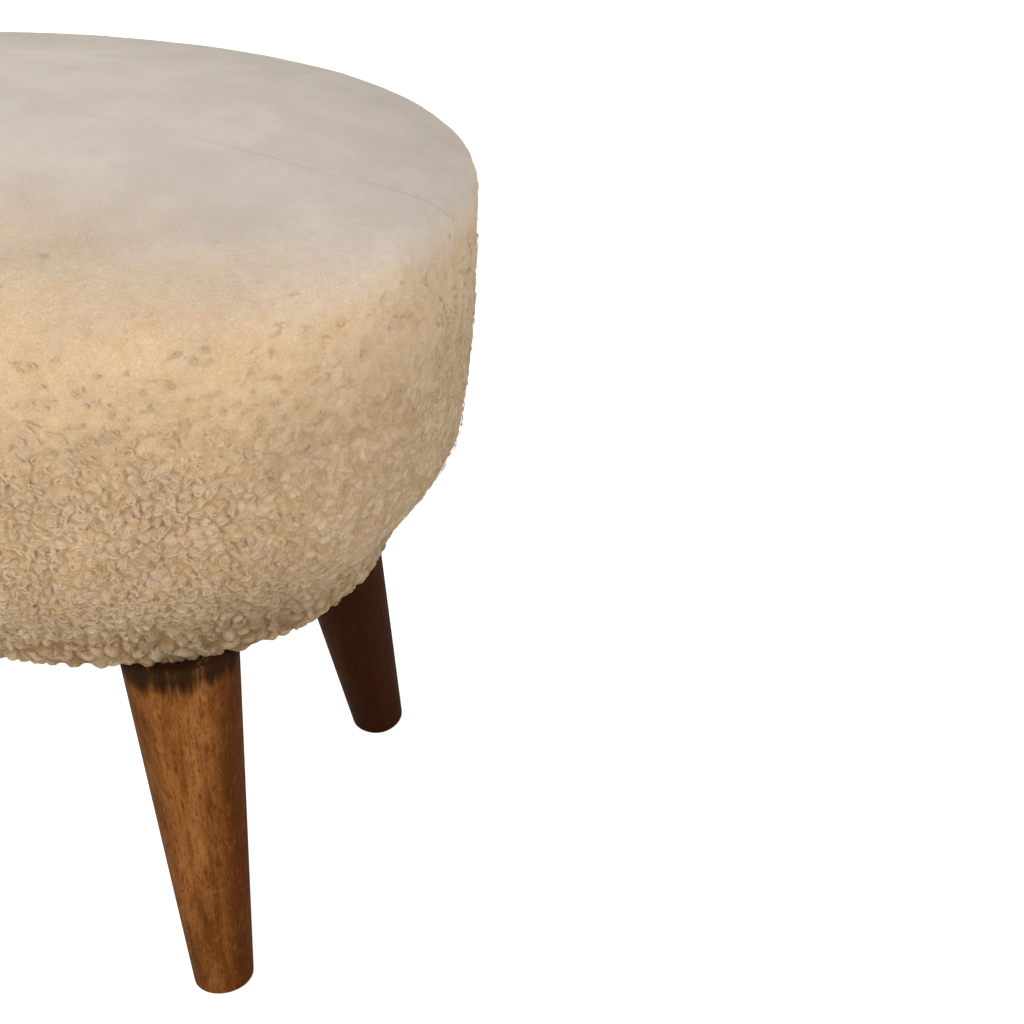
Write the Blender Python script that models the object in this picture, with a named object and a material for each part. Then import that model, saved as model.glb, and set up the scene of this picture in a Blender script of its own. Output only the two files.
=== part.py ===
"""Upholstered footstool: a deep padded seat in a curly pile cover, on four splayed, tapered round legs.

Metres, +Z up. The origin is on the floor under the middle of the seat, and +X runs along the seat's
longer side, so -Y is the front.
"""

import math

import bmesh
import bpy
from mathutils import Matrix, Vector

# Seat, measured to the tips of the pile
SEAT_LENGTH = 0.437
SEAT_WIDTH = 0.338
SEAT_TOP = 0.421
SEAT_UNDERSIDE = 0.2032
PLAN_SQUARENESS = 2.16  # exponent of the superellipse: 2 is an ellipse, more is squarer
CROWN = 0.0156  # how far the top rises from its rim to its middle
RIM_INSET = 0.05
RIM_DROP = 0.0162
SIDE_FOOT = 0.2703  # height at which the near-upright side turns in
SIDE_DRAW_IN = 0.0086
SIDE_BELLY = 0.0024
LOWER_DRAW_IN = 0.0377  # further inset from the foot of the side to the bottom edge
LOWER_ANGLE = math.radians(70.5)  # slope of the drawn-in band where it reaches the bottom edge
LOWER_START_REACH = 0.011  # Bezier handle lengths of the drawn-in band
LOWER_END_REACH = 0.0355
EDGE_RADIUS = 0.005
EDGE_FULLNESS = 0.0005  # the padding fills the bottom edge out by this much

# Unevenness of the hand-pulled cover
WAVE_HEIGHT = 0.0007
WAVES = ((4, 0.6, 1.0), (6, 2.1, 0.7), (10, 4.0, 0.45))  # lobes, phase, share; even lobes keep it centred

# Legs
LEG_TOP_DIAMETER = 0.0568
LEG_FOOT_DIAMETER = 0.0306
LEG_TOP_X = 0.1049
LEG_TOP_Y = 0.0793
LEG_FOOT_X = 0.1195
LEG_FOOT_Y = 0.106
FOOT_CENTRE_HEIGHT = 0.0008  # the end is square to the leg, so only part of it is levelled on the floor
FOOT_EDGE_RADIUS = 0.0015
SEAT_GAP = 0.0003

# Mesh fineness
SEAT_SEGMENTS = 88
CROWN_RINGS = 8
RIM_RINGS = 7
SIDE_RINGS = 6
LOWER_RINGS = 9
EDGE_RINGS = 3
UNDERSIDE_RINGS = 2
LEG_SEGMENTS = 40
LEG_RINGS = 6
FOOT_EDGE_RINGS = 4

# Linear base colours
PILE_CREAM = (0.56, 0.44, 0.32, 1.0)
WOOD_BROWN = (0.21, 0.085, 0.028, 1.0)


def clear_scene():
    for old in list(bpy.data.objects):
        bpy.data.objects.remove(old, do_unlink=True)


def material(name, colour, roughness):
    made = bpy.data.materials.new(name)
    made.use_nodes = True
    shader = made.node_tree.nodes["Principled BSDF"]
    shader.inputs["Base Color"].default_value = colour
    shader.inputs["Roughness"].default_value = roughness
    shader.inputs["Metallic"].default_value = 0.0
    return made


def add_object(name, bm, surface, parent):
    bmesh.ops.recalc_face_normals(bm, faces=bm.faces)
    mesh = bpy.data.meshes.new(name)
    bm.to_mesh(mesh)
    bm.free()
    mesh.shade_smooth()
    mesh.set_sharp_from_angle(angle=math.radians(35))
    mesh.materials.append(surface)
    made = bpy.data.objects.new(name, mesh)
    made.parent = parent
    bpy.context.scene.collection.objects.link(made)
    return made


def bezier(points, t):
    """Point at t on the cubic Bezier through four control points of (inset, height)."""
    weights = ((1 - t) ** 3, 3 * (1 - t) ** 2 * t, 3 * (1 - t) * t**2, t**3)
    return tuple(sum(w * p[axis] for w, p in zip(weights, points)) for axis in (0, 1))


# --- Seat ---------------------------------------------------------------------------------------


def plan_radius(angle):
    """Distance from the middle to the seat's outline, a superellipse."""
    along = abs(math.cos(angle) / (SEAT_LENGTH / 2)) ** PLAN_SQUARENESS
    across = abs(math.sin(angle) / (SEAT_WIDTH / 2)) ** PLAN_SQUARENESS
    return (along + across) ** (-1 / PLAN_SQUARENESS)


def wave(angle):
    """Slight in-and-out of the cover around the seat, at most about WAVE_HEIGHT."""
    total = sum(share for _, _, share in WAVES)
    return WAVE_HEIGHT * sum(s * math.cos(n * angle + phase) for n, phase, s in WAVES) / total


def crown_rings():
    """The domed top, from near its middle out to where the rim starts to turn down."""
    shares = [(i + 1) / CROWN_RINGS for i in range(CROWN_RINGS)]
    return [(share, RIM_INSET, SEAT_TOP - CROWN * share**2, 0.0) for share in shares]


def rim_rings():
    """The soft rim: a quarter of an ellipse from the top's edge to the upright side."""
    turns = [math.pi / 2 * (i + 1) / RIM_RINGS for i in range(RIM_RINGS)]
    start = SEAT_TOP - CROWN
    return [
        (1.0, RIM_INSET * (1 - math.sin(t)), start - RIM_DROP * (1 - math.cos(t)), math.sin(t))
        for t in turns
    ]


def side_rings():
    """The near-upright side: a faint belly, and slightly narrower at its foot."""
    top = SEAT_TOP - CROWN - RIM_DROP
    rings = []
    for i in range(SIDE_RINGS):
        t = (i + 1) / SIDE_RINGS
        inset = SIDE_DRAW_IN * t - SIDE_BELLY * math.sin(math.pi * t)
        rings.append((1.0, inset, top + (SIDE_FOOT - top) * t, 1.0))
    return rings


def lower_rings():
    """The band drawn in under the seat, ending above the bottom edge's small radius."""
    edge_inset = SIDE_DRAW_IN + LOWER_DRAW_IN - EDGE_FULLNESS
    slope = Vector((math.cos(LOWER_ANGLE), -math.sin(LOWER_ANGLE)))
    start = Vector((SIDE_DRAW_IN, SIDE_FOOT))
    corner = Vector((edge_inset, SEAT_UNDERSIDE))
    tangent = EDGE_RADIUS * math.tan(LOWER_ANGLE / 2)
    end = corner - slope * tangent
    handles = (start, start - Vector((0, LOWER_START_REACH)), end - slope * LOWER_END_REACH, end)
    rings = []
    for i in range(LOWER_RINGS):
        inset, height = bezier(handles, (i + 1) / LOWER_RINGS)
        rings.append((1.0, inset, height, 1.0))
    centre = corner + Vector((tangent, EDGE_RADIUS))
    for i in range(EDGE_RINGS):
        turn = LOWER_ANGLE * (1 - (i + 1) / EDGE_RINGS)
        inset = centre.x - EDGE_RADIUS * math.sin(turn)
        height = centre.y - EDGE_RADIUS * math.cos(turn)
        rings.append((1.0, inset, height, math.sin(turn)))
    return rings, centre.x


def underside_rings(inset):
    """The flat underside, stepping in towards its middle."""
    shares = [1 - (i + 1) / (UNDERSIDE_RINGS + 1) for i in range(UNDERSIDE_RINGS)]
    return [(share, inset, SEAT_UNDERSIDE, 0.0) for share in shares]


def build_seat(surface, parent):
    """One closed body: each ring is the plan's outline, inset, scaled about the middle and at a height."""
    lower, flat_inset = lower_rings()
    rings = crown_rings() + rim_rings() + side_rings() + lower + underside_rings(flat_inset)
    angles = [2 * math.pi * i / SEAT_SEGMENTS for i in range(SEAT_SEGMENTS)]
    bm = bmesh.new()
    loops = []
    for share, inset, height, waviness in rings:
        loop = []
        for angle in angles:
            radius = share * (plan_radius(angle) - inset) + waviness * wave(angle)
            loop.append(bm.verts.new((radius * math.cos(angle), radius * math.sin(angle), height)))
        loops.append(loop)
    for upper, under in zip(loops, loops[1:]):
        for i in range(SEAT_SEGMENTS):
            j = (i + 1) % SEAT_SEGMENTS
            bm.faces.new((upper[i], under[i], under[j], upper[j]))
    for loop, height in ((loops[0], SEAT_TOP), (loops[-1], SEAT_UNDERSIDE)):
        middle = bm.verts.new((0, 0, height))
        for i in range(SEAT_SEGMENTS):
            bm.faces.new((middle, loop[i], loop[(i + 1) % SEAT_SEGMENTS]))
    return add_object("seat", bm, surface, parent)


# --- Legs ---------------------------------------------------------------------------------------


def leg_profile(length):
    """(distance down the leg, radius) of each ring: a straight taper, then a small eased edge."""
    top, foot = LEG_TOP_DIAMETER / 2, LEG_FOOT_DIAMETER / 2
    start = -LEG_TOP_DIAMETER / 4  # runs past the joint, so that a level cut takes all of the top
    straight_end = length - FOOT_EDGE_RADIUS
    profile = []
    for i in range(LEG_RINGS):
        down = start + (straight_end - start) * i / (LEG_RINGS - 1)
        profile.append((down, top + (foot - top) * down / length))
    shoulder = profile[-1][1]
    for i in range(FOOT_EDGE_RINGS):
        turn = math.pi / 2 * (i + 1) / FOOT_EDGE_RINGS
        rise = FOOT_EDGE_RADIUS * math.sin(turn)
        profile.append((straight_end + rise, shoulder - FOOT_EDGE_RADIUS * (1 - math.cos(turn))))
    return profile


def cut_level(bm, to_world, height, keep_below):
    """Cuts the body at a level plane in world space and caps the cut with one flat face."""
    to_local = to_world.inverted()
    normal = to_local.to_3x3() @ Vector((0, 0, 1 if keep_below else -1))
    everything = bm.verts[:] + bm.edges[:] + bm.faces[:]
    cut = bmesh.ops.bisect_plane(
        bm,
        geom=everything,
        dist=1e-6,
        plane_co=to_local @ Vector((0, 0, height)),
        plane_no=normal,
        clear_outer=True,
    )
    edges = [item for item in cut["geom_cut"] if isinstance(item, bmesh.types.BMEdge)]
    bmesh.ops.contextual_create(bm, geom=edges)


def build_leg(name, side_x, side_y, surface, parent):
    """A tapered round leg with its top level under the seat and its foot levelled where it stands."""
    top = Vector((side_x * LEG_TOP_X, side_y * LEG_TOP_Y, SEAT_UNDERSIDE))
    foot = Vector((side_x * LEG_FOOT_X, side_y * LEG_FOOT_Y, FOOT_CENTRE_HEIGHT))
    down = foot - top
    turn = Vector((0, 0, -1)).rotation_difference(down)
    to_world = Matrix.Translation(top) @ turn.to_matrix().to_4x4()
    bm = bmesh.new()
    loops = []
    for distance, radius in leg_profile(down.length):
        loop = []
        for i in range(LEG_SEGMENTS):
            angle = 2 * math.pi * i / LEG_SEGMENTS
            loop.append(bm.verts.new((radius * math.cos(angle), radius * math.sin(angle), -distance)))
        loops.append(loop)
    for upper, under in zip(loops, loops[1:]):
        for i in range(LEG_SEGMENTS):
            j = (i + 1) % LEG_SEGMENTS
            bm.faces.new((upper[i], under[i], under[j], upper[j]))
    bm.faces.new(loops[0])
    bm.faces.new(loops[-1])
    cut_level(bm, to_world, SEAT_UNDERSIDE - SEAT_GAP, keep_below=True)
    cut_level(bm, to_world, 0.0, keep_below=False)
    leg = add_object(name, bm, surface, parent)
    leg.location = top
    leg.rotation_mode = "QUATERNION"
    leg.rotation_quaternion = turn
    return leg


def main():
    clear_scene()
    footstool = bpy.data.objects.new("footstool", None)
    bpy.context.scene.collection.objects.link(footstool)
    pile = material("curly_pile", PILE_CREAM, 0.95)
    wood = material("stained_wood", WOOD_BROWN, 0.42)
    build_seat(pile, footstool)
    for depth, side_y in (("front", -1), ("back", 1)):
        for hand, side_x in (("right", 1), ("left", -1)):
            build_leg(f"leg_{depth}_{hand}", side_x, side_y, wood, footstool)


main()
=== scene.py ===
"""Looks of the upholstered footstool: a curly pile seat on four stained wooden legs. Metres, Z up."""
import math

import bpy
import numpy as np
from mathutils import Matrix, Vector, kdtree, noise


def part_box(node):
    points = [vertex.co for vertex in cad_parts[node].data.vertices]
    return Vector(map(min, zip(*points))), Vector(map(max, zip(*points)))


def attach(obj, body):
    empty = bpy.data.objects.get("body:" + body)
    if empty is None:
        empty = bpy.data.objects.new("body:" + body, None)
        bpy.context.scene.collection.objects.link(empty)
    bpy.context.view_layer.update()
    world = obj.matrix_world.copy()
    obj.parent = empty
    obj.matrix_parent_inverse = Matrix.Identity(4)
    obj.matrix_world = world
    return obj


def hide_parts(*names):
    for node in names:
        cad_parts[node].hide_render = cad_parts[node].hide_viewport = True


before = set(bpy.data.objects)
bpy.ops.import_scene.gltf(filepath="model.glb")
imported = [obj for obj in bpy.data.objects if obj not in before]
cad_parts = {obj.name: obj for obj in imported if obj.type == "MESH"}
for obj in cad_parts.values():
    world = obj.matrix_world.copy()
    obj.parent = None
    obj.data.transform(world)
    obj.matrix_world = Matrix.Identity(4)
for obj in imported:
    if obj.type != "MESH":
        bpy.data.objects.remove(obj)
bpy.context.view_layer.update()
SEED = 20
rng = np.random.default_rng(SEED)
# Blender's vector noise starts from the clock unless it is seeded.
noise.seed_set(SEED)

SEAT_LOW, SEAT_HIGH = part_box("seat")
SEAT_MIDDLE, SEAT_HALF = (SEAT_LOW + SEAT_HIGH) / 2, (SEAT_HIGH - SEAT_LOW) / 2

# ---------------------------------------------------------------- helpers


def smooth(value, low, high):
    """0 below low, 1 above high, eased between; low may be above high."""
    t = np.clip((np.asarray(value, float) - low) / (high - low), 0, 1)
    return t * t * (3 - 2 * t)


def mix(a, b, t):
    return a + (b - a) * t


def unit(v):
    return v / np.maximum(np.linalg.norm(v, axis=-1, keepdims=True), 1e-12)


def coordinates(me):
    co = np.zeros(len(me.vertices) * 3, np.float32)
    me.vertices.foreach_get("co", co)
    return co.reshape(-1, 3).astype(float)


def vertex_normals(me):
    no = np.zeros(len(me.vertices) * 3, np.float32)
    me.vertices.foreach_get("normal", no)
    return no.reshape(-1, 3).astype(float)


def soft_normals(me, places, spread):
    """The normals of a mesh averaged over its surface about each place."""
    co, no = coordinates(me), vertex_normals(me)
    weight = np.zeros(len(co))
    for face in me.polygons:
        for v in face.vertices:
            weight[v] += face.area / len(face.vertices)
    out = np.zeros_like(places)
    for start in range(0, len(places), 500):
        gap = np.linalg.norm(places[start:start + 500, None] - co[None], axis=2)
        out[start:start + 500] = unit((np.exp(-0.5 * (gap / spread) ** 2) * weight) @ no)
    return out


def set_attribute(me, name, values, kind="FLOAT"):
    attribute = me.attributes.new(name, kind, "POINT")
    field = "value" if kind == "FLOAT" else "vector"
    attribute.data.foreach_set(field, np.asarray(values, np.float32).ravel())


def mesh_from_arrays(name, co, corners, starts, totals):
    me = bpy.data.meshes.new(name)
    me.vertices.add(len(co))
    me.vertices.foreach_set("co", np.asarray(co, np.float32).ravel())
    me.loops.add(len(corners))
    me.loops.foreach_set("vertex_index", np.asarray(corners, np.int32))
    me.polygons.add(len(starts))
    me.polygons.foreach_set("loop_start", np.asarray(starts, np.int32))
    me.polygons.foreach_set("loop_total", np.asarray(totals, np.int32))
    me.update(calc_edges=True)
    me.shade_smooth()
    return me


def add_object(name, me, mat):
    ob = bpy.data.objects.new(name, me)
    bpy.context.scene.collection.objects.link(ob)
    me.materials.append(mat)
    return ob


# ---------------------------------------------------------------- materials


class Nodes:
    """Short ways to add and join shader nodes."""

    def __init__(self, tree):
        self.tree = tree

    def add(self, kind, **values):
        node = self.tree.nodes.new(kind)
        for key, value in values.items():
            setattr(node, key, value)
        return node

    def feed(self, socket, value):
        if isinstance(value, bpy.types.NodeSocket):
            self.tree.links.new(value, socket)
        elif isinstance(value, tuple) and len(socket.default_value) == len(value) + 1:
            socket.default_value = (*value, 1.0)
        else:
            socket.default_value = value

    def math(self, operation, a, b=0.5):
        node = self.add("ShaderNodeMath", operation=operation)
        self.feed(node.inputs[0], a)
        self.feed(node.inputs[1], b)
        return node.outputs[0]

    def mix(self, factor, a, b, blend="MIX"):
        """Two colours mixed; a colour mix has its factor, A and B at the inputs 0, 6 and 7."""
        node = self.add("ShaderNodeMix", data_type="RGBA", blend_type=blend)
        self.feed(node.inputs[0], factor)
        self.feed(node.inputs[6], a)
        self.feed(node.inputs[7], b)
        return node.outputs[2]

    def range(self, value, low, high, to_low=0.0, to_high=1.0, steps="SMOOTHSTEP"):
        node = self.add("ShaderNodeMapRange", interpolation_type=steps)
        for socket, number in zip(node.inputs[:5], (value, low, high, to_low, to_high)):
            self.feed(socket, number)
        return node.outputs[0]

    def attribute(self, name):
        return self.add("ShaderNodeAttribute", attribute_name=name).outputs["Fac"]

    def scaled(self, vector, scale):
        node = self.add("ShaderNodeVectorMath", operation="MULTIPLY")
        self.feed(node.inputs[0], vector)
        node.inputs[1].default_value = scale
        return node.outputs[0]

    def noise(self, vector, scale, detail=2.0, roughness=0.5, distortion=0.0):
        node = self.add("ShaderNodeTexNoise")
        self.feed(node.inputs["Vector"], vector)
        for socket, number in (("Scale", scale), ("Detail", detail), ("Roughness", roughness),
                               ("Distortion", distortion)):
            node.inputs[socket].default_value = number
        return node.outputs["Fac"]

    def bump(self, height, distance, strength):
        node = self.add("ShaderNodeBump")
        self.feed(node.inputs["Height"], height)
        node.inputs["Distance"].default_value = distance
        node.inputs["Strength"].default_value = strength
        return node.outputs[0]


def new_material(name):
    mat = bpy.data.materials.new(name)
    mat.use_nodes = True
    shader = mat.node_tree.nodes["Principled BSDF"]
    return mat, shader, Nodes(mat.node_tree)


# The pile's colour in its gaps, half way up and on its tips: the paler tips are the wool's own colour, and
# the darker gaps are partly painted shade. The hem's and curls' colours are laid over it.
SIDE_GAP, SIDE_MID, SIDE_TIP = (0.62, 0.43, 0.24), (0.71, 0.53, 0.345), (0.77, 0.615, 0.45)
# The crown's paler, greyer colours: painted sheen and cool light from above.
LIT_TOP_GAP, LIT_TOP_MID, LIT_TOP_TIP = (0.735, 0.65, 0.585), (0.75, 0.68, 0.625), (0.77, 0.71, 0.675)
# Painted shade at the hem, laid over the pile's colour, darkest in the gaps.
HEM_SHADE_GAP, HEM_SHADE_TIP = (0.60, 0.50, 0.385), (0.90, 0.865, 0.79)
CURL_TINT = (1.0, 0.945, 0.87)
# The heights in the pile between which one colour turns into the next.
GAP_TO_MID, MID_TO_TIP, HEM_RISE = (0.0, 0.55), (0.5, 1.1), (0.25, 1.05)
# How much a tuft's own tone counts, the random patches of the crown's greyer colour, which is painted top
# light, and the broad light and dark areas at random.
TONE_SHARE = 0.45
PATCH_SCALE, PATCH_SHARE = 60.0, 0.5
BROAD_SCALE, BROAD_DARK, BROAD_PALE = 28.0, 0.93, 1.05
# Fibres for each curl and for each metre of skin, and how strongly they change the tone.
CURL_FIBRES_ALONG, CURL_FIBRES_ACROSS, CURL_FIBRE_TONE = 1.6, 7.0, 1.8
SKIN_FIBRES, SKIN_FUZZ, SKIN_FIBRE_TONE = (260.0, 1300.0, 40.0), 800.0, 2.0
# The sheen of both, and the light that passes under the surface: none in the thin curls.
CURL_SHEEN, CURL_BENEATH = 0.06, 0.0
SKIN_SHEEN, SKIN_BENEATH = 0.14, 0.7
THREADS = 260.0
LINING_GAP, LINING_THREAD = (0.30, 0.24, 0.18), (0.52, 0.45, 0.36)


def off_middle(n, value, share):
    """How far a value lies from 0.5, times a share."""
    return n.math("MULTIPLY", n.math("SUBTRACT", value, 0.5), share)


def pile_colour(n, rise, tone, painted_top_light, hem):
    """Warm and darker in the gaps, which is partly painted shade, and paler on the tips; greyer and more even
    on the crown with painted sheen and cool top light, and darker at the hem with painted shade.
    """
    rise = n.math("ADD", rise, off_middle(n, tone, TONE_SHARE))
    low, high = n.range(rise, *GAP_TO_MID), n.range(rise, *MID_TO_TIP)
    side = n.mix(high, n.mix(low, SIDE_GAP, SIDE_MID), SIDE_TIP)
    # The crown's colours, paler and greyer: painted sheen and cool top light.
    top = n.mix(high, n.mix(low, LIT_TOP_GAP, LIT_TOP_MID), LIT_TOP_TIP)
    place = n.add("ShaderNodeTexCoord").outputs["Object"]
    patches = n.math("ADD", painted_top_light, off_middle(n, n.noise(place, PATCH_SCALE, 3.0), PATCH_SHARE))
    colour = n.mix(n.range(patches, 0.0, 1.0, steps="LINEAR"), side, top)
    broad = n.range(n.noise(place, BROAD_SCALE, 3.0, 0.6), 0.3, 0.7, BROAD_DARK, BROAD_PALE)
    tint = n.add("ShaderNodeCombineColor")
    for socket in tint.inputs[:3]:
        n.feed(socket, broad)
    colour = n.mix(1.0, colour, tint.outputs[0], "MULTIPLY")
    # Painted shade at the hem: darker and warmer, most in the gaps.
    shadow = n.mix(n.range(rise, *HEM_RISE), HEM_SHADE_GAP, HEM_SHADE_TIP)
    return n.mix(hem, colour, n.mix(1.0, colour, shadow, "MULTIPLY"))


def finish_pile(shader, sheen, beneath):
    """The soft, matt look of wool; beneath is how much light passes under the surface."""
    shader.inputs["Sheen Weight"].default_value = sheen
    shader.inputs["Sheen Roughness"].default_value = 0.45
    shader.inputs["Sheen Tint"].default_value = (1.0, 0.88, 0.74, 1.0)
    shader.inputs["Specular IOR Level"].default_value = 0.15
    shader.inputs["Subsurface Weight"].default_value = beneath
    shader.inputs["Subsurface Radius"].default_value = (1.0, 0.75, 0.5)
    shader.inputs["Subsurface Scale"].default_value = 0.003


def curl_material(cells):
    """The curls: fine fibres lie along each one. cells is how many curls share the map, across and up."""
    mat, shader, n = new_material("curly_pile_curls")
    uv = n.add("ShaderNodeUVMap", uv_map="fibre").outputs[0]
    stretch = (cells[0] * CURL_FIBRES_ALONG, cells[1] * CURL_FIBRES_ACROSS, 0.0)
    fibres = n.noise(n.scaled(uv, stretch), 1.0, 2.0, 0.6, 0.3)
    tone = n.math("ADD", n.attribute("tone"), off_middle(n, fibres, CURL_FIBRE_TONE))
    colour = pile_colour(n, n.attribute("rise"), tone, n.attribute("painted_top_light"), n.attribute("hem"))
    n.feed(shader.inputs["Base Color"], n.mix(1.0, colour, CURL_TINT, "MULTIPLY"))
    n.feed(shader.inputs["Roughness"], n.range(fibres, 0.3, 0.7, 0.95, 0.8))
    n.feed(shader.inputs["Normal"], n.bump(fibres, 0.0002, 0.6))
    finish_pile(shader, CURL_SHEEN, CURL_BENEATH)
    return mat


def skin_material():
    """The pile: fibres follow each tuft's ring or comma, and only fine fuzz is left where it is plain."""
    mat, shader, n = new_material("curly_pile")
    place = n.add("ShaderNodeTexCoord").outputs["Object"]
    lock = n.add("ShaderNodeAttribute", attribute_name="lock").outputs["Vector"]
    fibres = n.noise(n.scaled(lock, SKIN_FIBRES), 1.0, 2.0, 0.6, 0.6)
    fuzz = n.noise(place, SKIN_FUZZ, 2.0, 0.6, 1.5)
    share = n.range(n.attribute("plain"), 0.0, 0.8, 0.6, 0.0, "LINEAR")
    both = n.math("ADD", fuzz, n.math("MULTIPLY", n.math("SUBTRACT", fibres, fuzz), share))
    fine = n.range(both, 0.3, 0.7, steps="LINEAR")
    tone = n.math("ADD", n.attribute("tone"), off_middle(n, fine, SKIN_FIBRE_TONE))
    colour = pile_colour(n, n.attribute("rise"), tone, n.attribute("painted_top_light"), n.attribute("hem"))
    n.feed(shader.inputs["Base Color"], colour)
    n.feed(shader.inputs["Roughness"], n.range(fine, 0.0, 1.0, 1.0, 0.85))
    height = n.math("MULTIPLY", fine, n.range(n.attribute("plain"), 0.0, 1.0, 1.0, 0.25))
    n.feed(shader.inputs["Normal"], n.bump(height, 0.0007, 0.8))
    finish_pile(shader, SKIN_SHEEN, SKIN_BENEATH)
    return mat


def lining_material():
    """The plain woven cloth of the flat underside."""
    mat, shader, n = new_material("woven_lining")
    place = n.add("ShaderNodeTexCoord").outputs["Object"]
    threads = 1.0
    for direction in "XY":
        weave = n.add("ShaderNodeTexWave", wave_type="BANDS", bands_direction=direction, wave_profile="SIN")
        n.feed(weave.inputs["Vector"], place)
        weave.inputs["Scale"].default_value = THREADS
        threads = n.math("MULTIPLY", weave.outputs["Fac"], threads)
    worn = n.math("MULTIPLY", threads, n.noise(place, 350.0, 3.0))
    n.feed(shader.inputs["Base Color"], n.mix(worn, LINING_GAP, LINING_THREAD))
    n.feed(shader.inputs["Roughness"], n.range(worn, 0.0, 0.5, 0.95, 0.85))
    n.feed(shader.inputs["Normal"], n.bump(threads, 0.0002, 0.7))
    return mat


# ---------------------------------------------------------------- seat skin

# Depth of the pile and spacing of its tufts on the side, crown and hem.
PILE_SIDE, PILE_TOP, PILE_HEM = 0.0026, 0.0004, 0.0034
TUFT_SIDE, TUFT_TOP, TUFT_HEM = 0.0042, 0.0045, 0.0060
# The cell of the fine mesh, the points tried for tufts, and how many tufts shape each point.
VOXEL, CANDIDATES, NEAR = 0.00125, 160000, 6
# The share of tufts that are rings, and how sharply the tufts stand out on the side and at the rim.
RING_SHARE = 0.45
SHARP_SIDE, SHARP_RIM = 9.0, 4.0
# How widely the form's normals are averaged, and their share in the shading of the side and crown.
SOFT_SPREAD, SOFT_SIDE, SOFT_TOP = 0.030, 0.64, 0.9
# The seat's plan as a rounded oval, and the part of it where the underside turns flat and bare.
PLAN_SQUARENESS = 2.16
UNDER_EDGE, UNDER_TURN = 0.775, 0.085
UNDER_SLOPE, UNDER_FLAT = -0.9, -0.985
UNDER_SIDES, UNDER_OVERLAP, UNDER_DROP = 96, 0.01, 0.0002
# Heights of the hem and of its painted shade, and the lowest tufts, which hang down and lie flatter.
UNDER_Z, TOP_Z = SEAT_LOW.z, SEAT_HIGH.z
HEM_TOP, HEM_FULL = UNDER_Z + 0.0588, UNDER_Z + 0.0188
SHADE_TOP, SHADE_FULL = UNDER_Z + 0.0348, UNDER_Z + 0.0028
DROOP, DROOP_HEIGHT, DROOP_OUT = 0.0014, 0.016, 0.4
BOTTOM_FLAT = 0.014
# The smooth crown: where it starts and is full from front to back and in height, the height where its painted
# top light is full, and the curly rim round it.
CROWN_FRONT, CROWN_FULL = 0.98 * SEAT_LOW.y, 0.25 * SEAT_LOW.y
CROWN_LOW, CROWN_HIGH, LIT_TOP_HIGH = TOP_Z - 0.049, TOP_Z - 0.021, TOP_Z - 0.016
RIM_INNER, RIM_OUTER, RIM_SHARE = 0.62, 0.98, 0.85
RIM_BACK, RIM_FRONT = 0.15 * SEAT_HIGH.y, 0.3 * SEAT_LOW.y
# The flatter pile at the two ends and towards the rim, and how lively it still is there.
ENDS_FROM, ENDS_FULL, ENDS_LIVELY = 0.66 * SEAT_HIGH.x, 0.95 * SEAT_HIGH.x, 0.48
CALM_LOW, CALM_HIGH, RIM_LIVELY = TOP_Z - 0.121, TOP_Z - 0.036, 0.62
CURLS_THIN, CURLS_END = TOP_Z - 0.086, TOP_Z - 0.031
# Towards the rim the gaps are filled up to TIPS_FLOOR, and only the tips stand out of that.
TIPS_FLOOR, TIPS_RISE, TIPS_FROM, TIPS_FULL = 0.35, 0.75, 0.35, 1.15
# Soft waves in the flatter pile: how close they are, how deep, and their greatest share.
WAVES, WAVE_DEPTH, WAVE_MOST = (260, 260, 170), 0.9, 0.85
# The reach of a tuft's base and of its normal, the bending of its outline, and broad lumps.
BASE_REACH, SOFT_REACH = 0.0045, 0.004
WARP, WARP_SCALE = 0.0011, 330
LUMPS, LUMP_SCALE = 0.0008, 60
# How far the tips stay inside the CAD's seat.
SINK = 0.0003


def noise_at(places):
    return np.array([noise.noise(Vector(p)) for p in places])


def plan_shares(co):
    """How far points lie from the seat's middle along X and Y, as shares of its half sizes."""
    x = np.abs(co[..., 0] - SEAT_MIDDLE.x) / SEAT_HALF.x
    y = np.abs(co[..., 1] - SEAT_MIDDLE.y) / SEAT_HALF.y
    return x, y


def plan_distance(co):
    """0 over the seat's middle and 1 at its widest outline."""
    x, y = plan_shares(co)
    return (x ** PLAN_SQUARENESS + y ** PLAN_SQUARENESS) ** (1 / PLAN_SQUARENESS)


def zones(co, no):
    """How far each point belongs to the smooth crown, the hem and the flat underside, each 0 to 1."""
    upper = smooth(no[:, 2], 0.0, 0.6) * smooth(co[:, 2], CROWN_LOW, CROWN_HIGH)
    rim = smooth(plan_distance(co), RIM_INNER, RIM_OUTER) * smooth(co[:, 1], RIM_BACK, RIM_FRONT)
    crown = smooth(co[:, 1], CROWN_FRONT, CROWN_FULL) * (1 - RIM_SHARE * rim) * upper
    hem = smooth(co[:, 2], HEM_TOP, HEM_FULL)
    turned = smooth(plan_distance(co), UNDER_EDGE, UNDER_EDGE - UNDER_TURN)
    under = smooth(no[:, 2], UNDER_SLOPE, UNDER_FLAT) * turned
    return crown, hem, under


def liveliness(co):
    """1 low on the front and back; less at the two ends and towards the rim, where the pile is flatter."""
    ends = mix(1, ENDS_LIVELY, smooth(np.abs(co[:, 0]), ENDS_FROM, ENDS_FULL))
    return ends * mix(1, RIM_LIVELY, smooth(co[:, 2], CALM_LOW, CALM_HIGH))


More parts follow.
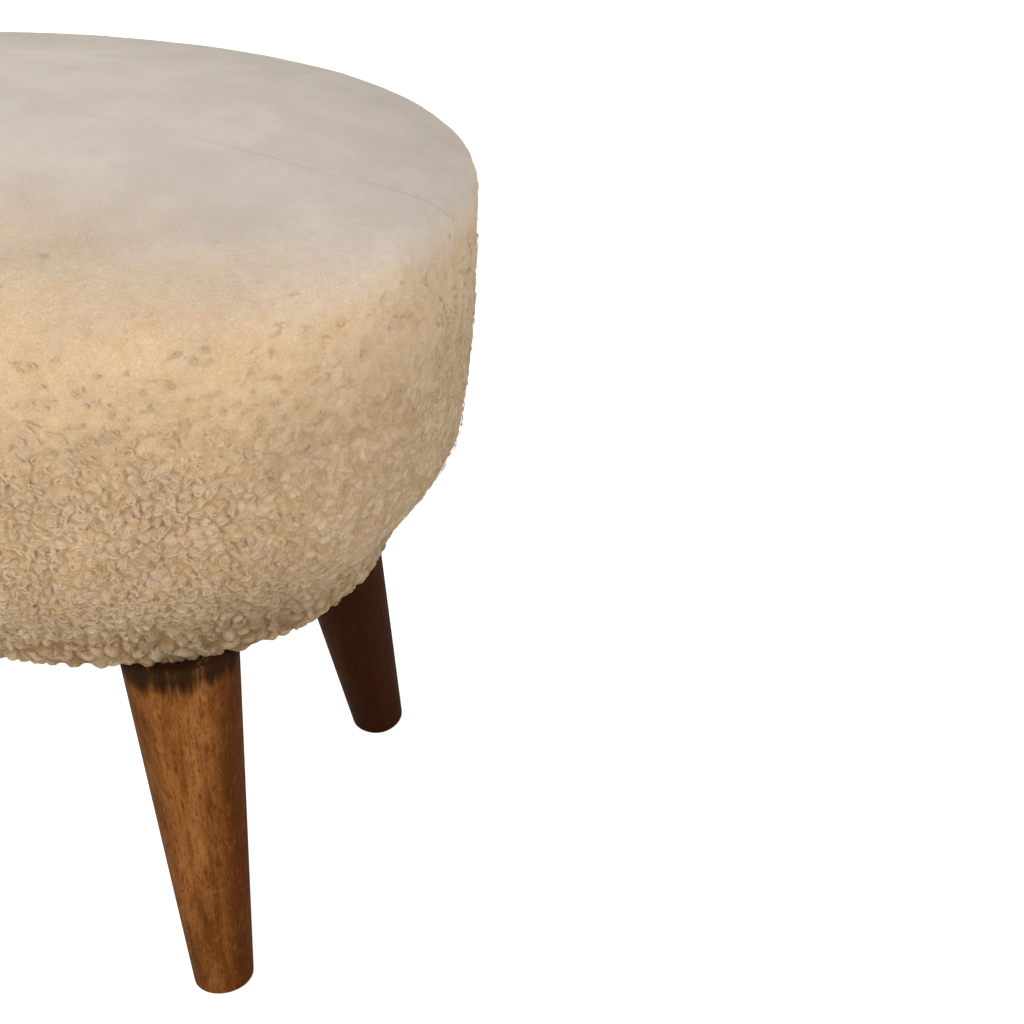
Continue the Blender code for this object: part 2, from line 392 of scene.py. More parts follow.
def calmed(height, co, place):
    """Heights in the pile, with the tufts of its flatter parts blended into soft, shallow waves. Towards the
    rim only the tips of the tufts stand out, without creases between them."""
    tips = TIPS_FLOOR + TIPS_RISE * smooth(height, TIPS_FROM, TIPS_FULL)
    height = mix(height, tips, smooth(place[:, 2], CALM_LOW, CURLS_END))
    waves = np.clip(0.5 + WAVE_DEPTH * noise_at(co * WAVES), 0, 1)
    return mix(height, waves, np.minimum(1 - liveliness(place), WAVE_MOST))


def hem_shade(co):
    """How far the pile is darkened with painted shade at its lowest edge."""
    return smooth(co[:, 2], SHADE_TOP, SHADE_FULL)


def painted_top_light_share(co):
    """How far the pile has the crown's paler, greyer look: painted sheen and cool top light, fading out
    towards the front edge.
    """
    return smooth(co[:, 1], SEAT_LOW.y, 0.1 * SEAT_LOW.y) * smooth(co[:, 2], CROWN_LOW, LIT_TOP_HIGH)


def drooped(co, height):
    """How many metres the lowest tufts hang down, over the tops of the legs."""
    low = smooth(co[:, 2], UNDER_Z + DROOP_HEIGHT, UNDER_Z + 0.002) * liveliness(co) ** 2
    return DROOP * low * (0.7 + 0.3 * np.clip(height, 0, 1))


def hung(place, hang):
    """The drooped tufts' shift: down by hang and a little outward."""
    shift = unit(place * (1, 1, 0)) * (DROOP_OUT * hang)[:, None]
    shift[:, 2] -= hang
    return shift


def by_zone(crown, hem, side_value, top_value, hem_value):
    """One value for the side, the crown and the hem, blended where they meet."""
    return mix(mix(side_value, hem_value, hem), top_value, crown)


def pile_depth(crown, hem):
    return by_zone(crown, hem, PILE_SIDE, PILE_TOP, PILE_HEM)


def tuft_spacing(crown, hem):
    return by_zone(crown, hem, TUFT_SIDE, TUFT_TOP, TUFT_HEM)


def evaluated(ob):
    bpy.context.view_layer.update()
    me = bpy.data.meshes.new_from_object(ob.evaluated_get(bpy.context.evaluated_depsgraph_get()))
    ob.modifiers.clear()
    return me


def even_seat():
    """The CAD seat welded, and the same form as an even fine mesh."""
    ob = bpy.data.objects.new("seat_form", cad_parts["seat"].data.copy())
    bpy.context.scene.collection.objects.link(ob)
    ob.modifiers.new("weld", "WELD").merge_threshold = 1e-6
    coarse = evaluated(ob)
    even = ob.modifiers.new("even", "REMESH")
    even.mode = "VOXEL"
    even.voxel_size = VOXEL
    fine = evaluated(ob)
    bpy.data.objects.remove(ob)
    return coarse, fine


def kept_apart(place, gap):
    """The points left when each that is nearer than its gap to one kept before it is dropped."""
    keys = np.floor(place / gap.max()).astype(int)
    around = [(x, y, z) for x in (-1, 0, 1) for y in (-1, 0, 1) for z in (-1, 0, 1)]
    cells, kept = {}, []
    for i, (key, p, limit) in enumerate(zip(map(tuple, keys), place.tolist(), (gap * gap).tolist())):
        near = (q for dx, dy, dz in around for q in cells.get((key[0] + dx, key[1] + dy, key[2] + dz), ()))
        if all((p[0] - q[0]) ** 2 + (p[1] - q[1]) ** 2 + (p[2] - q[2]) ** 2 >= limit for q in near):
            cells.setdefault(key, []).append(p)
            kept.append(i)
    return np.array(kept)


def draw_tufts(co, no, coarse):
    """Tufts spread over the fine mesh: places, frames, and the ring or comma that each one's fibres make."""
    crown, hem, _ = zones(co, no)
    order = rng.permutation(len(co))[:CANDIDATES]
    gap = tuft_spacing(crown[order], hem[order])
    chosen = order[kept_apart(co[order], gap)]
    count = len(chosen)
    crown, hem = crown[chosen], hem[chosen]
    normal = no[chosen]
    first = unit(np.cross(normal, rng.normal(size=(count, 3))))
    size = tuft_spacing(crown, hem) * rng.uniform(0.85, 1.15, count)
    return {
        "place": co[chosen], "normal": normal, "first": first, "second": np.cross(normal, first),
        "soft": soft_normals(coarse, co[chosen], SOFT_SPREAD), "crown": crown, "hem": hem,
        "ring": rng.random(count) < RING_SHARE,
        "radius": rng.uniform(0.30, 0.45, count) * size,
        "width": rng.uniform(0.19, 0.255, count) * size,
        "turn": np.radians(rng.uniform(75, 150, count)),
        "long": rng.uniform(0.6, 0.9, count) * size,
        "wide": rng.uniform(0.30, 0.45, count) * size,
        "bend": rng.uniform(-0.55, 0.55, count) / size,
        "base": rng.uniform(0.0, 0.4, count),
        "tone": rng.random(count),
    }


def tuft_heights(tufts, co):
    """For each point: its height in the pile, about 0 to 1, the tuft on top, how far it lies along and across
    that tuft's fibres, and the evened-out normal."""
    tree = kdtree.KDTree(len(tufts["place"]))
    for i, p in enumerate(tufts["place"].tolist()):
        tree.insert(p, i)
    tree.balance()
    near = np.array([[found[1] for found in tree.find_n(p, NEAR)] for p in co.tolist()])
    warp = np.array([noise.noise_vector(Vector(p) * WARP_SCALE) for p in co]) * WARP
    away = (co + warp)[:, None] - tufts["place"][near]
    x = np.einsum("ijk,ijk->ij", away, tufts["first"][near])
    y = np.einsum("ijk,ijk->ij", away, tufts["second"][near])
    r, angle = np.hypot(x, y), np.arctan2(y, x)
    keys = ("ring", "radius", "width", "turn", "long", "wide", "bend", "base")
    t = {key: tufts[key][near] for key in keys}
    arc = smooth(np.abs(angle), t["turn"] + 0.4, t["turn"] - 0.2)
    ridge = np.exp(-((r - t["radius"]) / t["width"]) ** 2) * mix(0.35, 1.0, arc)
    ring = np.maximum(ridge, 0.5 * np.exp(-(r / t["radius"]) ** 2))
    bent = y - t["bend"] * x * x
    comma = np.exp(-((x / t["long"]) ** 2 + (bent / t["wide"]) ** 2))
    shape = np.where(t["ring"], ring, comma)
    height = mix(shape, np.exp(-(r / BASE_REACH) ** 2), t["base"])
    # The tufts' heights run together softly, and more so towards the rim.
    sharp = mix(SHARP_SIDE, SHARP_RIM, smooth(co[:, 2], CALM_LOW, CALM_HIGH))
    total = np.log(np.exp(sharp[:, None] * height).mean(axis=1)) / sharp
    total += 0.35 * math.log(NEAR) / sharp
    best = height.argmax(axis=1)
    row = np.arange(len(co))
    along = np.where(t["ring"], angle * t["radius"], x)[row, best]
    across = np.where(t["ring"], r, bent)[row, best]
    weight = np.exp(-(np.linalg.norm(away, axis=2) / SOFT_REACH) ** 2)
    soft = unit(np.einsum("ij,ijk->ik", weight, tufts["soft"][near]))
    return total, near[row, best], along, across, soft


def skin_map(co, no):
    """A flat map for baking: side, top and underside each in a part of the square."""
    x, y = plan_shares(co)
    z = (co[..., 2] - SEAT_LOW.z) / (2 * SEAT_HALF.z)
    part = np.where(no > 0.6, 1, np.where(no < -0.75, 2, 0))[:, None]
    u = np.where(part == 0, np.arctan2(y, x) / (math.pi / 2), x)
    u = np.where(part == 0, 0.02 + 0.96 * u, np.where(part == 1, 0.02 + 0.46 * u, 0.52 + 0.46 * u))
    v = np.where(part == 0, 0.02 + 0.44 * z, 0.5 + 0.44 * y)
    return np.stack([u, v], axis=-1)


def build_skin(mat):
    """The seat's surface but for its flat underside, raised into tufts, as four quarters, and the tufts."""
    coarse, fine = even_seat()
    co, no = coordinates(fine), vertex_normals(fine)
    tufts = draw_tufts(co, no, coarse)
    height, top, along, across, soft = tuft_heights(tufts, co)
    crown, hem, under = zones(co, no)
    depth = pile_depth(crown, hem) * liveliness(co)
    lumps = noise_at(co * LUMP_SCALE)
    height = calmed(height, co, co)
    # The tufts are rounder at the hem and flatter at its lowest edge.
    height = mix(height, np.sin(np.clip(height, 0, 1) * math.pi / 2), hem)
    height = mix(height, 0.3 + 0.7 * height, smooth(co[:, 2], UNDER_Z + BOTTOM_FLAT, UNDER_Z + 0.003))
    lift = (depth * (height - 1) + lumps * LUMPS * mix(1, 0.3, crown)) * (1 - under) - SINK
    moved = co + no * lift[:, None]
    hang = drooped(co, height) * (1 - under)
    moved += hung(co, hang)
    moved[:, 2] -= 0.5 * lumps * hang
    # The raised surface's own normals, evened out towards those of the form.
    corners = np.zeros(len(fine.loops), np.int32)
    fine.loops.foreach_get("vertex_index", corners)
    fine.vertices.foreach_set("co", moved.astype(np.float32).ravel())
    fine.update()
    own = vertex_normals(fine)
    upper = smooth(co[:, 2], CALM_LOW, CALM_HIGH)
    evened = mix(SOFT_SIDE, SOFT_TOP, np.maximum(crown, 0.5 * upper)) * (1 - under)
    shade = unit(mix(own, soft, evened[:, None]))
    tone = tufts["tone"][top]
    # What the pile's colour follows, with painted top light on the crown and painted shade at the hem and
    # partly in the gaps; it evens out towards the rim and over the crown.
    looks = {
        "rise": mix(height, 0.75, np.maximum(0.55 * upper, 0.9 * crown)),
        "painted_top_light": painted_top_light_share(co), "hem": hem_shade(co),
        "plain": np.maximum(crown, 0.85 * upper),
        "tone": mix(tone, 0.5, np.maximum(0.6 * upper, 0.9 * crown)),
    }
    fibre_lengths = np.stack([along, across, tone], axis=1)
    quads = corners.reshape(-1, 4)
    quads = quads[under[quads].min(axis=1) < 0.999]
    middle = co[quads].mean(axis=1)
    facing = no[quads, 2].mean(axis=1)
    made = []
    for x_name, x_side in (("right", middle[:, 0] >= 0), ("left", middle[:, 0] < 0)):
        for y_name, y_side in (("front", middle[:, 1] < 0), ("back", middle[:, 1] >= 0)):
            chosen = x_side & y_side
            faces = quads[chosen]
            used, again = np.unique(faces, return_inverse=True)
            again = again.reshape(-1)
            me = mesh_from_arrays(f"seat_skin_{y_name}_{x_name}", moved[used], again,
                                  np.arange(len(faces)) * 4, np.full(len(faces), 4))
            flat = skin_map(co[faces], facing[chosen]).astype(np.float32)
            me.uv_layers.new(name="OFBake").uv.foreach_set("vector", flat.ravel())
            for name, values in looks.items():
                set_attribute(me, name, values[used])
            set_attribute(me, "lock", fibre_lengths[used], "FLOAT_VECTOR")
            me.normals_split_custom_set_from_vertices(shade[used].tolist())
            made.append(add_object(me.name, me, mat))
    return made, tufts


def build_underside(mat):
    """The flat middle of the seat's underside, where the pile ends."""
    angle = np.arange(UNDER_SIDES) / UNDER_SIDES * 2 * math.pi
    x, y = SEAT_MIDDLE.x + SEAT_HALF.x * np.cos(angle), SEAT_MIDDLE.y + SEAT_HALF.y * np.sin(angle)
    edge = np.stack([x, y, np.full(UNDER_SIDES, UNDER_Z - UNDER_DROP)], axis=1)
    reach = (UNDER_EDGE - UNDER_TURN + UNDER_OVERLAP) / plan_distance(edge)
    edge[:, :2] = mix(np.array(SEAT_MIDDLE.xy), edge[:, :2], reach[:, None])
    me = bpy.data.meshes.new("seat_underside")
    me.from_pydata(edge.tolist(), [], [tuple(reversed(range(UNDER_SIDES)))])
    return add_object("seat_underside", me, mat)


# ---------------------------------------------------------------- curls

CURLS_PER_TUFT = 3
# A curl is a bent spindle: rings of SIDES points at these shares of its length, and a point at each end.
CURL_AT = np.array([0.2, 0.5, 0.8])
CURL_GIRTH = np.array([0.85, 1.0, 0.8])
SIDES = 3
POINTS = len(CURL_AT) * SIDES + 2
CURL_THIN, CURL_THICK, CURL_OUT = 0.00020, 0.00036, 1.2
CURL_SWING, CURL_SHIFT = 0.35, 0.55
CURL_TIP_LOW, CURL_TIP_HIGH = -0.0012, 0.0002
CURL_SOFT = 0.82
CELL_MARGIN = 0.04


def curl_shapes(tufts):
    """Vertices of the fibre bundles along each tuft's ring or comma, with their normals and heights."""
    t, count = tufts, len(tufts["place"])
    depth = pile_depth(t["crown"], t["hem"]) * liveliness(t["place"])
    thick = rng.uniform(CURL_THIN, CURL_THICK, count) * mix(1, 1.2, t["hem"])
    thick *= np.clip(depth / PILE_SIDE, 0.4, 1)
    swing = rng.normal(0, CURL_SWING, count)
    first = np.cos(swing)[:, None] * t["first"] + np.sin(swing)[:, None] * t["second"]
    second = np.cross(t["normal"], first)
    shift = rng.uniform(-CURL_SHIFT, CURL_SHIFT, count)
    lift = rng.uniform(0.2, 1.0, count)
    reach = rng.uniform(0.6, 1.0, count)
    tip = rng.uniform(CURL_TIP_LOW, CURL_TIP_HIGH, count) * np.clip(depth / PILE_SIDE, 0.2, 1)

    def path(s):
        """The curls' places and heights in the pile at a share s of their lengths."""
        ahead = s * 2 - 1
        angle = ahead * t["turn"] * reach
        radius = t["radius"] + shift * t["width"]
        along = ahead * t["long"] * reach
        x = np.where(t["ring"], radius * np.cos(angle), along)
        y = np.where(t["ring"], radius * np.sin(angle), t["bend"] * along ** 2 + shift * t["wide"])
        ends = np.where(t["ring"], 1.0, np.exp(-0.7 * (along / t["long"]) ** 2))
        fall = ends * np.exp(-shift ** 2)
        height = mix(fall, np.exp(-(x * x + y * y) / BASE_REACH ** 2), t["base"])
        flat = t["place"] + first * x[:, None] + second * y[:, None]
        height = calmed(height, flat, t["place"])
        z = depth * (height - 1) + thick * lift + tip * ahead ** 2
        spot = flat + t["normal"] * z[:, None]
        return spot + hung(t["place"], drooped(t["place"], height)), height

    co = np.zeros((count, POINTS, 3))
    rise = np.zeros((count, POINTS))
    shade = np.zeros_like(co)
    for end, s in ((0, 0.0), (POINTS - 1, 1.0)):
        co[:, end], rise[:, end] = path(s)
        shade[:, end] = t["normal"]
    for i, s in enumerate(CURL_AT):
        spot, height = path(s)
        forward = unit(path(s + 0.08)[0] - path(s - 0.08)[0])
        beside = unit(np.cross(t["normal"], forward))
        above = np.cross(forward, beside)
        for j in range(SIDES):
            phi = 2 * math.pi * j / SIDES + math.pi / 2
            away = beside * math.cos(phi) + above * math.sin(phi)
            k = 1 + i * SIDES + j
            co[:, k] = spot + away * (thick * CURL_GIRTH[i] * CURL_OUT)[:, None]
            rise[:, k] = height
            shade[:, k] = away
    return co, shade, rise


def curl_mesh(name, tufts):
    """One joined mesh of curls, with a map that gives each a cell of its own."""
    co, shade, rise = curl_shapes(tufts)
    count = len(co)
    columns = math.ceil(math.sqrt(count / 2))
    rows = math.ceil(count / columns)
    last = len(CURL_AT) - 1
    rails = [0.0, *CURL_AT, 1.0]
    corner, at = [], []
    for j in range(SIDES):
        a, b = 1 + j, 1 + (j + 1) % SIDES
        corner.append([0, b, a])
        at.append([(rails[0], j + 0.5), (rails[1], j + 1), (rails[1], j)])
        for i in range(last):
            a, b = 1 + i * SIDES + j, 1 + i * SIDES + (j + 1) % SIDES
            corner.append([a, b, b + SIDES, a + SIDES])
            at.append([(rails[i + 1], j), (rails[i + 1], j + 1), (rails[i + 2], j + 1), (rails[i + 2], j)])
        a, b = 1 + last * SIDES + j, 1 + last * SIDES + (j + 1) % SIDES
        corner.append([a, b, POINTS - 1])
        at.append([(rails[-2], j), (rails[-2], j + 1), (rails[-1], j + 0.5)])
    totals = np.tile([len(c) for c in corner], count)
    flat_corner = np.concatenate([np.array(c) for c in corner])
    flat_at = np.concatenate([np.array(c, float) for c in at])
    corners = (flat_corner[None] + (np.arange(count) * POINTS)[:, None]).ravel()
    starts = np.concatenate([[0], np.cumsum(totals)[:-1]])
    me = mesh_from_arrays(name, co.reshape(-1, 3), corners, starts, totals)
    index, inside = np.arange(count), 1 - 2 * CELL_MARGIN
    u = ((index % columns)[:, None] + CELL_MARGIN + inside * flat_at[None, :, 0]) / columns
    v = ((index // columns)[:, None] + CELL_MARGIN + inside * flat_at[None, :, 1] / SIDES) / rows
    uv = np.stack([u, v], axis=-1).astype(np.float32).ravel()
    for layer in ("fibre", "OFBake"):
        me.uv_layers.new(name=layer).uv.foreach_set("vector", uv)
    # The curls carry the skin's colour attributes, with its painted top light and its painted shade at the
    # hem.
    set_attribute(me, "rise", rise)
    set_attribute(me, "tone", np.repeat(mix(tufts["tone"], rng.random(count), 0.5), POINTS))
    set_attribute(me, "painted_top_light", np.repeat(tufts["painted_top_light"], POINTS))
    set_attribute(me, "hem", np.repeat(tufts["shade"], POINTS))
    ground = np.repeat(unit(mix(tufts["normal"], tufts["soft"], SOFT_SIDE)), POINTS, axis=0)
    normals = unit(mix(shade.reshape(-1, 3), ground, CURL_SOFT))
    me.normals_split_custom_set_from_vertices(normals.tolist())
    return me, (columns, rows)


def build_curls(tufts):
    """Curls on the tufts of the side and hem, thinning out to none over the smooth crown, in four meshes."""
    place, facing = tufts["place"], tufts["normal"][:, 2]
    share = rng.random(len(place))
    tufts = dict(tufts, painted_top_light=painted_top_light_share(place), shade=hem_shade(place))
    under = (facing < UNDER_SLOPE) & (plan_distance(place) < UNDER_EDGE - 0.4 * UNDER_TURN)
    turned = (facing < -0.35) & (place[:, 2] < UNDER_Z + BOTTOM_FLAT)
    upper = smooth(place[:, 2], CURLS_THIN, CURLS_END)
    fewer = np.maximum(1.6 * tufts["crown"], np.maximum(0.97 * upper, 0.7 * (1 - liveliness(place))))
    wanted = (share > fewer) & ~under & ~turned
    right, front = place[:, 0] >= 0, place[:, 1] < 0
    made = []
    for x_name, across in (("right", right), ("left", ~right)):
        for y_name, along in (("front", front), ("back", ~front)):
            chosen = np.repeat(np.flatnonzero(wanted & across & along), CURLS_PER_TUFT)
            name = f"seat_curls_{y_name}_{x_name}"
            me, cells = curl_mesh(name, {key: values[chosen] for key, values in tufts.items()})
            made.append(add_object(name, me, curl_material(cells)))
    return made


# ---------------------------------------------------------------- legs

LEG_TOP, LEG_FOOT = Vector((0.1049, 0.0793, SEAT_LOW.z)), Vector((0.1195, 0.1060, 0.0008))
TOP_RADIUS, FOOT_RADIUS, FOOT_EDGE, TOP_EDGE = 0.0568 / 2, 0.0306 / 2, 0.0007, 0.0045
LEG_SIDES, LEG_RINGS, FOOT_ROUND = 72, 40, 5
LEG_UNDER_SEAT = 0.0003
LEG_SHADED, LEG_FULL_SHADE = 0.022, 0.005
LEGS = {"front_right": (1, -1), "front_left": (-1, -1), "back_right": (1, 1), "back_left": (-1, 1)}
# How far the back legs are darkened all over with painted shade.
BACK_SHADE_SHARE = 0.795
# The way that a leg's pale vein faces, for the front right leg; the leg's painted shade lies beyond the vein
# on that side, and on the opposite edge.
VEIN_SIDE = (0.83, 0.55)
VEIN_MIDDLE, VEIN_SLOPE, VEIN_BEND, VEIN_SHARE = 0.14, 5.0, 0.7, 0.4
WOOD_DARK, WOOD_MID, WOOD_WARM, WOOD_PALE = (
    (0.150, 0.046, 0.0070), (0.300, 0.112, 0.0270), (0.33, 0.145, 0.046), (0.42, 0.190, 0.060))
# Random blotches, then painted shade on the leg's side beyond the vein and on its opposite edge.
BLOTCH, RIGHT_SIDE_SHADE, LEFT_EDGE_SHADE = (0.085, 0.023, 0.0035), (0.100, 0.022, 0.0005), (0.085, 0.030, 0.0060)
MOTTLE, FINE_LINE, PORE = (0.105, 0.030, 0.0048), (0.085, 0.024, 0.0045), (0.04, 0.012, 0.003)
# Painted shadow of the seat on the legs' upper ends, and the darker painted shade of the back legs.
UPPER_END_SHADOW, BACK_SHADE_COLOUR = (0.018, 0.007, 0.0025), (0.026, 0.0065, 0.0015)


def wood_material(name, depth):
    """Stained hardwood, with streaks and pores along the leg, painted shade on its far side and one edge, and
    a painted shadow at its upper end. depth is how far a darker painted shade covers it.
    """
    mat, shader, n = new_material(name)
    grain = n.add("ShaderNodeAttribute", attribute_name="grain").outputs["Vector"]

    def figure(across, along, *shape):
        return n.noise(n.scaled(grain, (across, across, along)), 1.0, *shape)

    streaks = figure(110.0, 9.0, 5.0, 0.6, 0.7)
    fine = figure(900.0, 22.0, 4.0, 0.65, 0.3)
    blotch = figure(50.0, 22.0, 4.0, 0.6, 0.8)
    mottle = figure(300.0, 110.0, 4.0, 0.7, 1.0)
    pores = figure(1500.0, 230.0, 1.0, 0.5)
    bend = off_middle(n, figure(20.0, 30.0, 3.0), VEIN_BEND)
    leg_facing, split = n.attribute("leg_facing"), n.add("ShaderNodeSeparateXYZ")
    n.feed(split.inputs[0], grain)
    length = split.outputs["Z"]
    # The vein runs slantwise round the leg, and beyond it the leg is darkened with painted shade.
    path = n.math("MULTIPLY", n.math("SUBTRACT", length, VEIN_MIDDLE), VEIN_SLOPE)
    vein = n.math("ABSOLUTE", n.math("SUBTRACT", n.math("ADD", leg_facing, bend), path))
    vein = n.math("MULTIPLY", n.range(vein, 0.28, 0.02), n.range(length, 0.05, 0.10))
    beyond = n.math("SUBTRACT", leg_facing, n.math("MULTIPLY", path, 0.5))
    colour = n.mix(n.range(streaks, 0.34, 0.64), WOOD_DARK, WOOD_MID)
    colour = n.mix(n.range(blotch, 0.50, 0.66, 0.0, 0.5), colour, WOOD_WARM)
    colour = n.mix(n.range(blotch, 0.46, 0.32, 0.0, 0.5), colour, BLOTCH)
    colour = n.mix(n.range(beyond, 0.15, 0.75, 0.0, 0.85), colour, RIGHT_SIDE_SHADE)
    # Painted shade on the edge that faces the other way.
    colour = n.mix(n.range(leg_facing, -0.8, -1.0, 0.0, 0.5), colour, LEFT_EDGE_SHADE)
    colour = n.mix(n.math("MULTIPLY", vein, VEIN_SHARE), colour, WOOD_PALE)
    colour = n.mix(n.range(mottle, 0.50, 0.70, 0.0, 0.7), colour, MOTTLE)
    colour = n.mix(n.range(mottle, 0.46, 0.30, 0.0, 0.3), colour, WOOD_PALE)
    colour = n.mix(n.range(fine, 0.5, 0.7, 0.0, 0.5), colour, FINE_LINE)
    colour = n.mix(n.range(pores, 0.60, 0.70, 0.0, 0.65), colour, PORE)
    # Painted shadow of the seat on the leg's upper end, with a ragged lower border along the streaks.
    shaded = n.math("ADD", n.attribute("shaded"), off_middle(n, streaks, -1.8))
    colour = n.mix(n.range(shaded, 0.42, 1.0, 0.0, 0.93), colour, UPPER_END_SHADOW)
    # Painted shade over the whole leg, as far as depth says.
    colour = n.mix(depth, colour, BACK_SHADE_COLOUR)
    n.feed(shader.inputs["Base Color"], colour)
    n.feed(shader.inputs["Roughness"], n.range(fine, 0.3, 0.7, 0.42, 0.6))
    n.feed(shader.inputs["Normal"], n.bump(n.math("SUBTRACT", fine, pores), 0.00025, 0.6))
    shader.inputs["Specular IOR Level"].default_value = 0.06
    return mat


def leg_profile(length):
    """Distances along the leg from its foot, with the radius at each: a rounded foot edge, a straight taper
    and a small chamfer at the top."""
    turns = np.linspace(0, math.pi / 2, FOOT_ROUND)
    profile = [(FOOT_EDGE * (1 - math.cos(a)), FOOT_RADIUS - FOOT_EDGE * (1 - math.sin(a))) for a in turns]
    for s in np.linspace(0.002, length - TOP_EDGE, LEG_RINGS):
        profile.append((s, mix(FOOT_RADIUS, TOP_RADIUS, s / length)))
    return profile + [(length, TOP_RADIUS - TOP_EDGE)]


def leg_faces(rings):
    """Quads round the rings, and then the foot's fan and the top's cap."""
    faces = []
    for i in range(rings - 1):
        for j in range(LEG_SIDES):
            a, b = i * LEG_SIDES + j, i * LEG_SIDES + (j + 1) % LEG_SIDES
            faces.append((a, b, b + LEG_SIDES, a + LEG_SIDES))
    end = rings * LEG_SIDES
    faces += [(end, (j + 1) % LEG_SIDES, j) for j in range(LEG_SIDES)]
    faces.append(tuple((rings - 1) * LEG_SIDES + j for j in range(LEG_SIDES)))
    return faces


def build_leg(name, signs, mat):
    """One leg, from its levelled foot to just under the seat, with the lengths that its figure follows."""
    top = Vector((LEG_TOP.x * signs[0], LEG_TOP.y * signs[1], LEG_TOP.z))
    foot = Vector((LEG_FOOT.x * signs[0], LEG_FOOT.y * signs[1], LEG_FOOT.z))
    length, direction = (top - foot).length, (top - foot).normalized()
    first = direction.orthogonal().normalized()
    foot, axis, across, other = map(np.array, (foot, direction, first, direction.cross(first)))
    profile = leg_profile(length)
    angle = np.arange(LEG_SIDES) / LEG_SIDES * 2 * math.pi
    ring = np.outer(np.cos(angle), across) + np.outer(np.sin(angle), other)
    co = np.concatenate([foot + axis * s + ring * r for s, r in profile] + [[foot]])
    lengths = np.concatenate([np.full(LEG_SIDES, s) for s, _ in profile] + [[0.0]])
    local = co - foot
    grain = np.stack([local @ across, local @ other, lengths], axis=1)
    # The top is cut level just under the seat, and the foot is levelled on the floor.
    level = SEAT_LOW.z - LEG_UNDER_SEAT
    high = co[:, 2] > level
    co[high] -= axis * ((co[high, 2] - level) / axis[2])[:, None]
    co[:, 2] = np.maximum(co[:, 2], 0)
    me = bpy.data.meshes.new(f"{name}_wood")
    me.from_pydata(co.tolist(), [], leg_faces(len(profile)))
    me.shade_smooth()
    away = unit(local - np.outer(local @ axis, axis))
    side = np.array((VEIN_SIDE[0] * signs[0], -VEIN_SIDE[1] * signs[1], 0.0))
    set_attribute(me, "leg_facing", away @ side)
    # How far the seat's painted shadow covers the leg's upper end.
    set_attribute(me, "shaded", smooth(co[:, 2], SEAT_LOW.z - LEG_SHADED, SEAT_LOW.z - LEG_FULL_SHADE))
    set_attribute(me, "grain", grain, "FLOAT_VECTOR")
    ob = add_object(f"{name}_wood", me, mat)
    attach(ob, "root")
    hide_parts(name)


# ---------------------------------------------------------------- stage

FLOOR_HALF = 8.0
FLOOR_BOUNCE, FLOOR_SEEN, FLOOR_GLOW = (0.55, 0.525, 0.49), (0.45, 0.45, 0.45), 0.85
SKY_COLOUR, SKY_LIGHT = (1.0, 0.955, 0.88), 0.3
LIGHT_AIM = Vector((0.0, 0.0, 0.3))
CAMERA_PLACE, CAMERA_TURN = (0.4319, -0.5761, 0.6619), (55.81, 0.0, 18.16)
CAMERA_LENS, CAMERA_SENSOR = 55.27, 36.0


def build_floor():
    """A pale floor: near white to the camera, and softer as a bounce of light onto the stool."""
    mat, shader, n = new_material("studio_floor")
    n.feed(shader.inputs["Base Color"], FLOOR_BOUNCE)
    shader.inputs["Roughness"].default_value = 1.0
    pale, glow = n.add("ShaderNodeBsdfDiffuse"), n.add("ShaderNodeEmission")
    n.feed(pale.inputs["Color"], FLOOR_SEEN)
    n.feed(glow.inputs["Strength"], FLOOR_GLOW)
    both, seen = n.add("ShaderNodeAddShader"), n.add("ShaderNodeMixShader")
    n.feed(both.inputs[0], pale.outputs[0])
    n.feed(both.inputs[1], glow.outputs[0])
    n.feed(seen.inputs[0], n.add("ShaderNodeLightPath").outputs["Is Camera Ray"])
    n.feed(seen.inputs[1], shader.outputs[0])
    n.feed(seen.inputs[2], both.outputs[0])
    n.feed(mat.node_tree.nodes["Material Output"].inputs["Surface"], seen.outputs[0])
    me = bpy.data.meshes.new("studio_floor")
    corners = [(x * FLOOR_HALF, y * FLOOR_HALF, 0) for x, y in ((-1, -1), (1, -1), (1, 1), (-1, 1))]
    me.from_pydata(corners, [], [(0, 1, 2, 3)])
    floor = bpy.data.objects.new("studio_floor", me)
    bpy.context.scene.collection.objects.link(floor)
    me.materials.append(mat)


def build_sky():
    """White to the camera, and a dim, warm, even light on the stool."""
    world = bpy.data.worlds.new("studio")
    bpy.context.scene.world = world
    world.use_nodes = True
    n = Nodes(world.node_tree)
    background = world.node_tree.nodes["Background"]
    ray = n.add("ShaderNodeLightPath").outputs["Is Camera Ray"]
    n.feed(background.inputs["Color"], n.mix(ray, SKY_COLOUR, (1.0, 1.0, 1.0)))
    n.feed(background.inputs["Strength"], n.range(ray, 0.0, 1.0, SKY_LIGHT, 1.0, "LINEAR"))


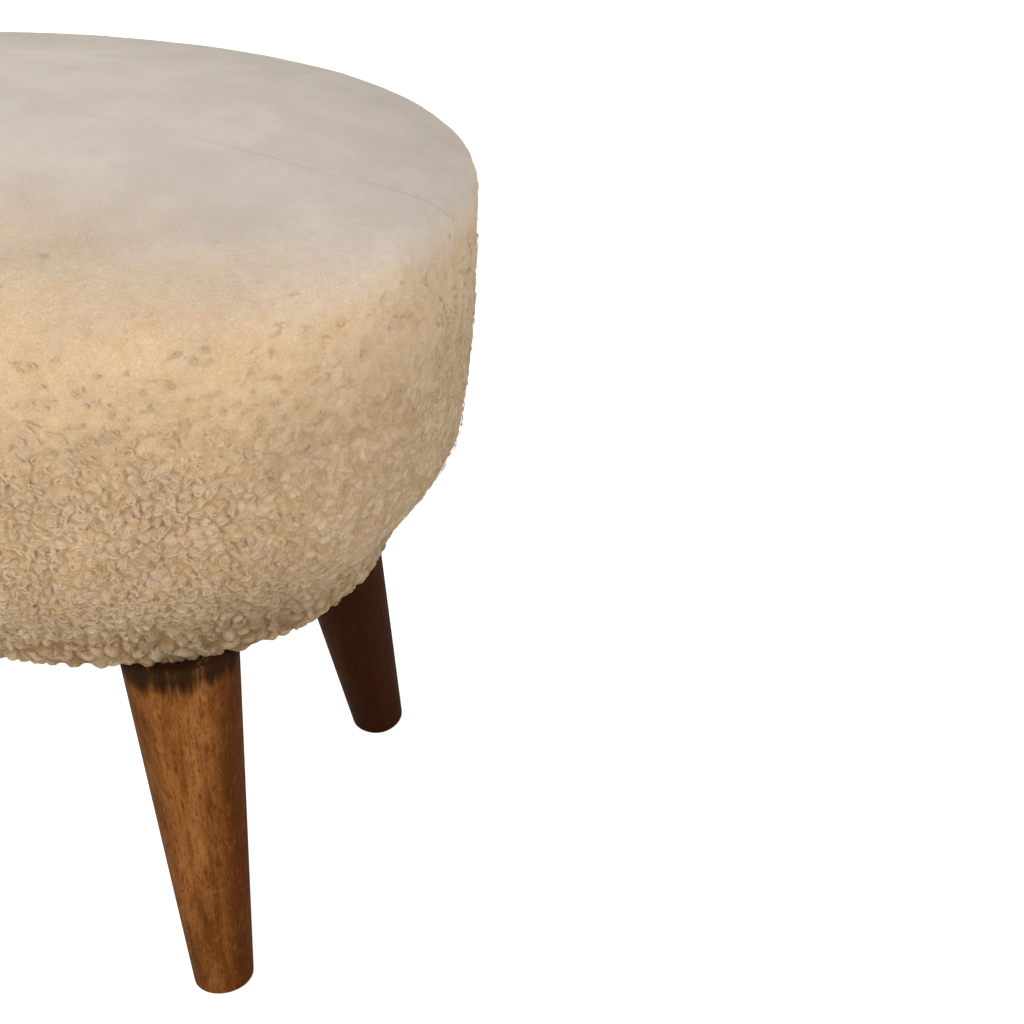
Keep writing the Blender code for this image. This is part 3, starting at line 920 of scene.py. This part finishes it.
def softbox(name, azimuth, elevation, distance, size, power, colour):
    """A square area light that looks at the stool; azimuth 0 is in front of it and 90 at its right."""
    a, e = math.radians(azimuth), math.radians(elevation)
    back = Vector((math.sin(a) * math.cos(e), -math.cos(a) * math.cos(e), math.sin(e)))
    data = bpy.data.lights.new(name, "AREA")
    data.shape = "SQUARE"
    data.size, data.energy, data.color = size, power, colour
    ob = bpy.data.objects.new(name, data)
    bpy.context.scene.collection.objects.link(ob)
    ob.location = LIGHT_AIM + distance * back
    ob.rotation_euler = (-back).to_track_quat("-Z", "Y").to_euler()


def build_camera():
    """The view of the photo, as fitted to the stool's outline."""
    data = bpy.data.cameras.new("camera")
    data.lens, data.sensor_width = CAMERA_LENS, CAMERA_SENSOR
    data.clip_start, data.clip_end = 0.01, 50.0
    ob = bpy.data.objects.new("camera", data)
    bpy.context.scene.collection.objects.link(ob)
    ob.location = CAMERA_PLACE
    ob.rotation_euler = [math.radians(angle) for angle in CAMERA_TURN]
    bpy.context.scene.camera = ob


# ---------------------------------------------------------------- build

build_camera()
build_floor()
build_sky()
softbox("key", azimuth=-5, elevation=20, distance=1.8, size=0.7, power=16.9, colour=(1.0, 0.96, 0.90))
softbox("right_fill", azimuth=75, elevation=25, distance=1.9, size=0.9, power=13.2, colour=(1.0, 0.97, 0.92))
softbox("back_fill", azimuth=200, elevation=20, distance=2.0, size=0.9, power=10.0, colour=(1.0, 0.98, 0.96))
softbox("left_fill", azimuth=275, elevation=25, distance=2.0, size=0.9, power=12.5, colour=(1.0, 0.97, 0.93))

quarters, tufts = build_skin(skin_material())
seat = quarters[0]
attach(seat, "root")
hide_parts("seat")
for piece in quarters[1:] + [build_underside(lining_material())] + build_curls(tufts):
    piece.parent = seat
front_wood = wood_material("stained_wood", 0.0)
shaded_back_wood = wood_material("stained_wood_painted_shade", BACK_SHADE_SHARE)
for leg, signs in LEGS.items():
    build_leg(f"leg_{leg}", signs, front_wood if signs[1] < 0 else shaded_back_wood)

bpy.context.scene.view_settings.view_transform = "Standard"
